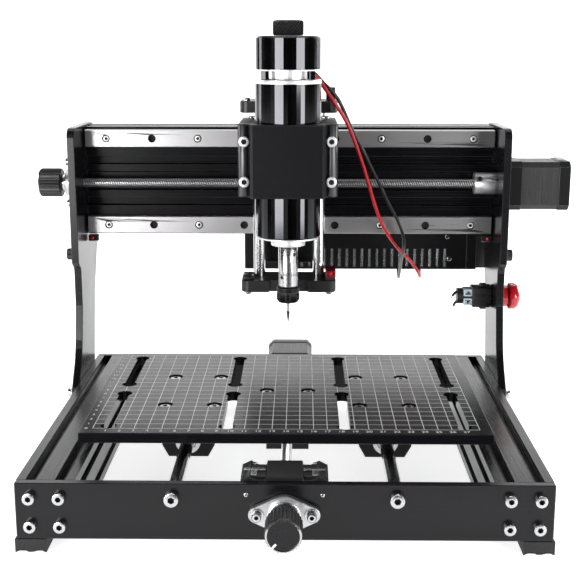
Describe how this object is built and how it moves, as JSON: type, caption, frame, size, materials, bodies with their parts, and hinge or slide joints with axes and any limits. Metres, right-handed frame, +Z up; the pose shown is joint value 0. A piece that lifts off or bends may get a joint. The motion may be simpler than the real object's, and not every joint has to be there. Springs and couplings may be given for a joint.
{
  "type": "cnc router",
  "caption": "Desktop CNC router with a slotted moving bed, a gantry with two linear rails, and a clamped spindle on a vertical screw slide.",
  "frame": {"origin": "centre of the machine's overall box, on the plane its feet stand on", "axes": "+X to the operator's right along the gantry, +Y from the operator to the back along the bed's travel, +Z up"},
  "size_m": [0.4612, 0.4002, 0.353],
  "materials": {
    "motor_black": "black laminated steel and end caps",
    "black_anodised": "satin black anodised aluminium",
    "black_gloss": "high gloss black enamel on metal",
    "black_plastic": "moulded satin black",
    "black_rubber": "matt",
    "polished_steel": "ground and polished",
    "cast_zinc": "cast, satin",
    "bare_aluminium": "turned",
    "brass": "machined",
    "red_plastic": "glossy red",
    "red_wire": "flexible insulation",
    "black_wire": "flexible insulation"
  },
  "bodies": {
    "base": {"front_plate": "black_anodised", "rear_plate": "black_anodised", "base_beam_left": "black_anodised", "base_beam_right": "black_anodised", "foot_front_left": "black_rubber", "foot_front_right": "black_rubber", "foot_rear_left": "black_rubber", "foot_rear_right": "black_rubber", "y_shaft_left": "polished_steel", "y_shaft_right": "polished_steel", "y_flange_bearing": "cast_zinc", "y_switch_block": "black_plastic", "side_plate_left": "black_anodised", "side_plate_right": "black_anodised", "gantry_beam": "black_anodised", "rail_upper": "polished_steel", "rail_lower": "polished_steel", "x_flange_bearing": "cast_zinc", "x_motor": "motor_black", "y_motor": "motor_black", "controller_box": "black_anodised", "stop_switch_body": "black_plastic", "x_switch_left": "black_plastic", "x_switch_right": "black_plastic", "red_wire": "red_wire", "black_wire": "black_wire"},
    "bed": {"bed_plate": "black_anodised", "bearing_block_front_left": "black_anodised", "bearing_block_front_right": "black_anodised", "bearing_block_rear_left": "black_anodised", "bearing_block_rear_right": "black_anodised", "bed_nut": "black_anodised"},
    "x_carriage": {"carriage_plate": "black_anodised", "rail_block_upper": "polished_steel", "rail_block_lower": "polished_steel", "x_nut": "brass", "z_plate_upper": "black_plastic", "z_plate_lower": "black_plastic", "z_rod_left": "polished_steel", "z_rod_right": "polished_steel", "z_switch": "red_plastic", "z_motor": "motor_black"},
    "z_slide": {"z_slide_block": "black_anodised", "spindle_clamp": "black_anodised", "spindle_body": "black_gloss", "spindle_vent_ring": "bare_aluminium", "spindle_cap": "black_gloss"},
    "spindle_rotor": {"spindle_shaft": "polished_steel", "collet_chuck": "polished_steel", "collet_nut": "black_anodised", "cutter_bit": "polished_steel", "spindle_hand_knob": "black_plastic"},
    "y_screw": {"y_lead_screw": "polished_steel", "y_coupling": "bare_aluminium", "y_knob": "black_plastic"},
    "x_screw": {"x_lead_screw": "polished_steel", "x_coupling": "bare_aluminium", "x_knob": "black_plastic"},
    "z_screw": {"z_lead_screw": "polished_steel"},
    "stop_button": {"stop_button": "red_plastic"}
  },
  "joints": [
    {"name": "bed_travel", "type": "slide", "parent": "base", "child": "bed", "axis": [0, 1, 0], "range_m": [-0.095, 0.085]},
    {"name": "x_travel", "type": "slide", "parent": "base", "child": "x_carriage", "axis": [1, 0, 0], "range_m": [-0.138, 0.138], "deforming": ["red_wire", "black_wire"]},
    {"name": "z_travel", "type": "slide", "parent": "x_carriage", "child": "z_slide", "axis": [0, 0, 1], "range_m": [-0.045, 0]},
    {"name": "spindle_spin", "type": "hinge", "parent": "z_slide", "child": "spindle_rotor", "pos_m": [-0.01125, 0.02685, 0.1846], "axis": [0, 0, 1], "continuous": true},
    {"name": "y_screw_turn", "type": "hinge", "parent": "base", "child": "y_screw", "pos_m": [-0.01125, -0.00715, 0.03], "axis": [0, 1, 0], "continuous": true},
    {"name": "x_screw_turn", "type": "hinge", "parent": "base", "child": "x_screw", "pos_m": [-0.01125, 0.11485, 0.216], "axis": [1, 0, 0], "continuous": true},
    {"name": "z_screw_turn", "type": "hinge", "parent": "x_carriage", "child": "z_screw", "pos_m": [-0.01125, 0.08185, 0.2463], "axis": [0, 0, 1], "continuous": true},
    {"name": "stop_press", "type": "slide", "parent": "base", "child": "stop_button", "axis": [-1, 0, 0], "range_m": [0, 0.004], "stiffness_N_per_m": 600}
  ],
  "couplings": [
    {"joint": "y_screw_turn", "follows": "bed_travel", "rad_per_m": 785.4},
    {"joint": "x_screw_turn", "follows": "x_travel", "rad_per_m": 785.4},
    {"joint": "z_screw_turn", "follows": "z_travel", "rad_per_m": 785.4}
  ]
}
